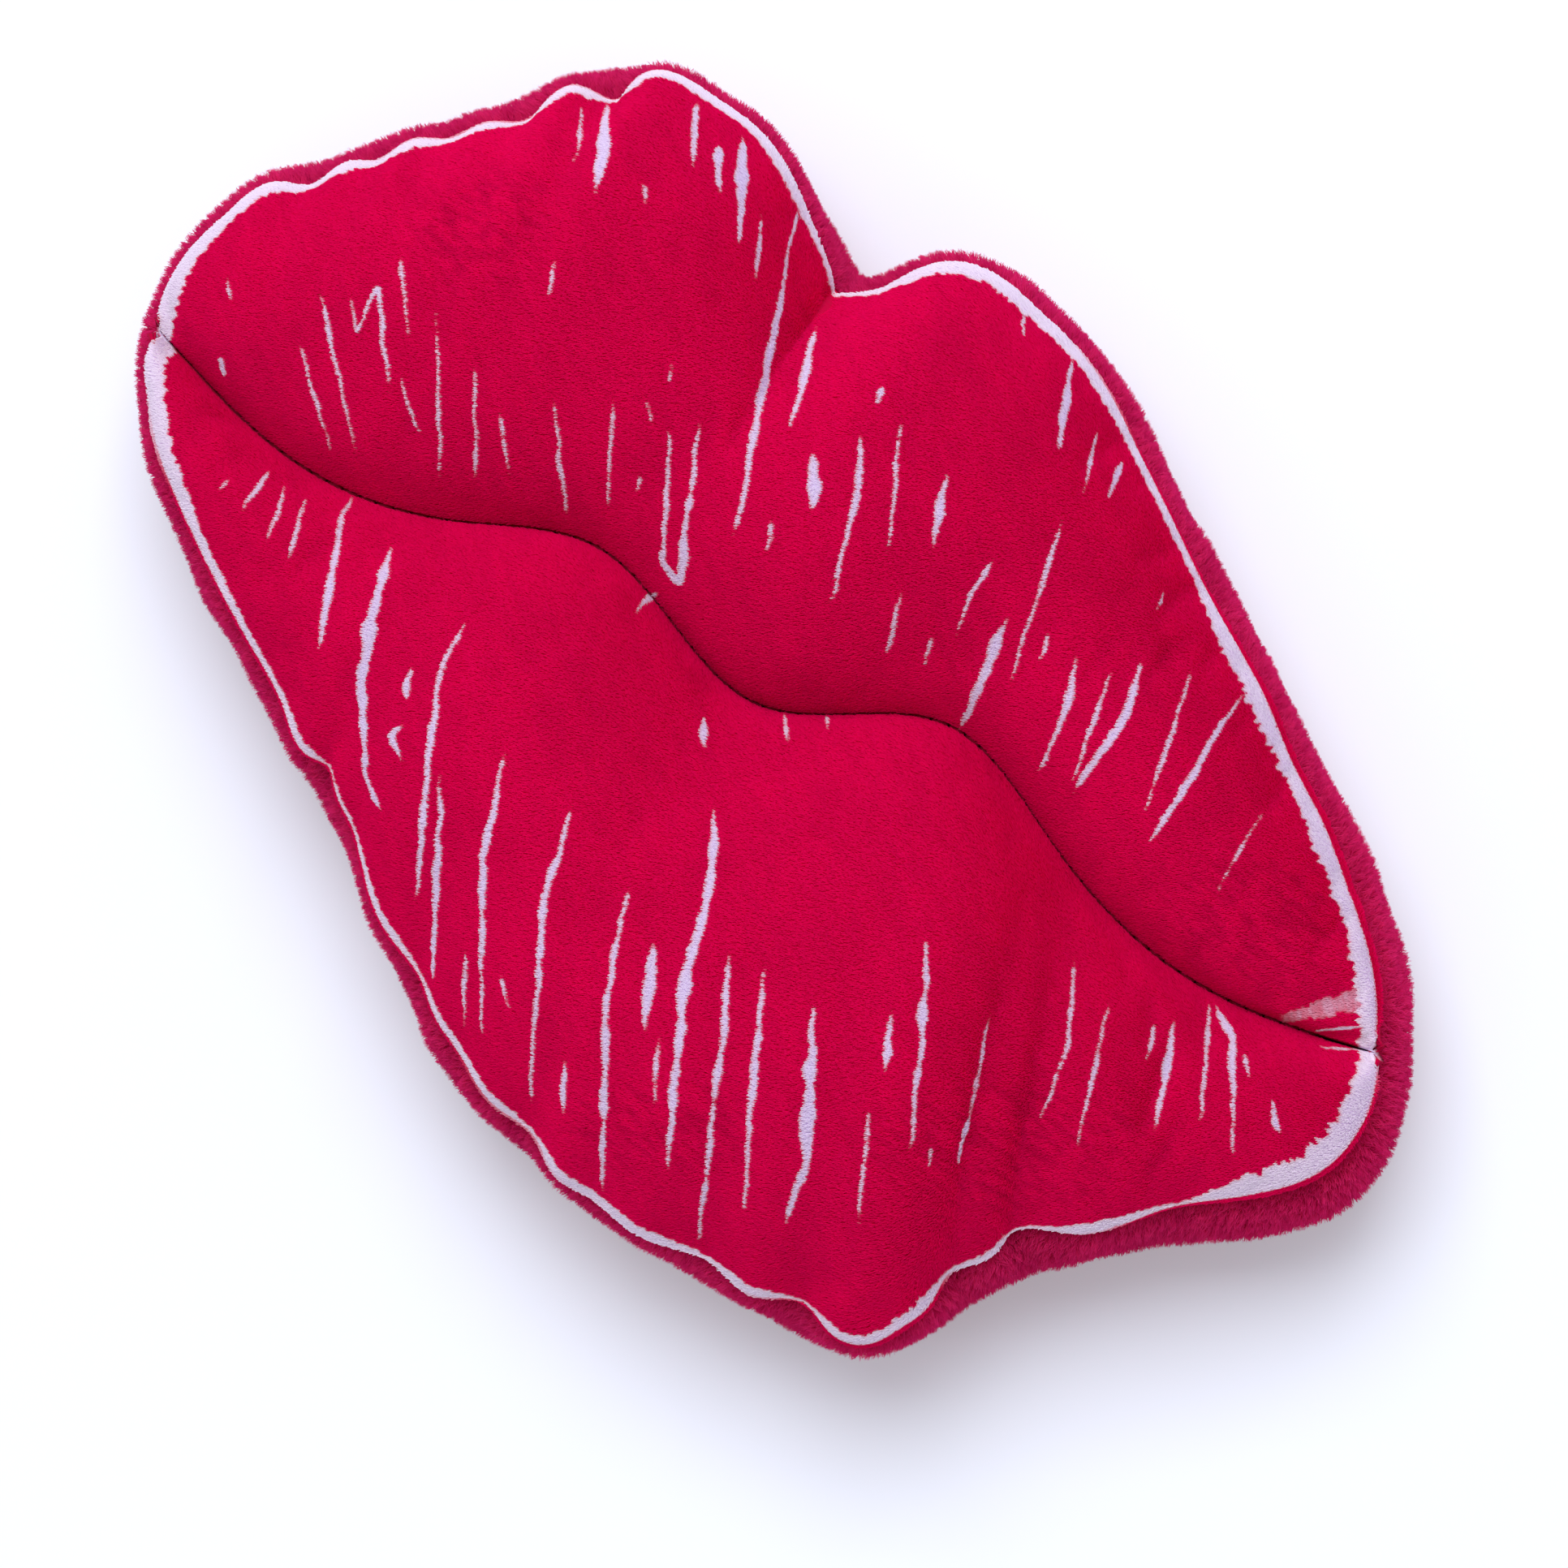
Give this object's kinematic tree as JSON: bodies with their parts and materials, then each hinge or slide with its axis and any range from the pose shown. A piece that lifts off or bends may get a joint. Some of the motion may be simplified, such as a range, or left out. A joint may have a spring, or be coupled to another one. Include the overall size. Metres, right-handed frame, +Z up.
{
  "type": "stuffed plush lips toy",
  "caption": "Stuffed plush toy in the shape of a pair of red lips, sewn from lip panels, side bands and a back around fibre fill.",
  "frame": {"origin": "on the flat of the back that the toy lies on, under the midpoint between the mouth corners", "axes": "+X from the mouth corner at the picture's upper left to the one at its lower right, +Y towards the upper lip, +Z up out of the front"},
  "size_m": [0.2058, 0.1456, 0.0552],
  "materials": {
    "lip_plush": "short dense pile, white crease lines and edge printed on it",
    "band_plush": "tufty short pile, dyed through",
    "thread": "spun polyester sewing thread",
    "fibre_fill": "loose polyester fibre",
    "squeaker_plastic": "soft moulded plastic"
  },
  "bodies": {
    "root": {"upper_lip_panel": "lip_plush", "lower_lip_panel": "lip_plush", "upper_side_band": "band_plush", "lower_side_band": "band_plush", "back_panel": "band_plush", "mouth_seam_thread": "thread", "front_seam_thread": "thread", "back_seam_thread": "thread", "corner_seam_threads": "thread", "closing_stitches": "thread", "upper_lip_stuffing": "fibre_fill", "lower_lip_stuffing": "fibre_fill", "squeaker_bulb": "squeaker_plastic", "squeaker_reed": "squeaker_plastic"}
  },
  "joints": []
}
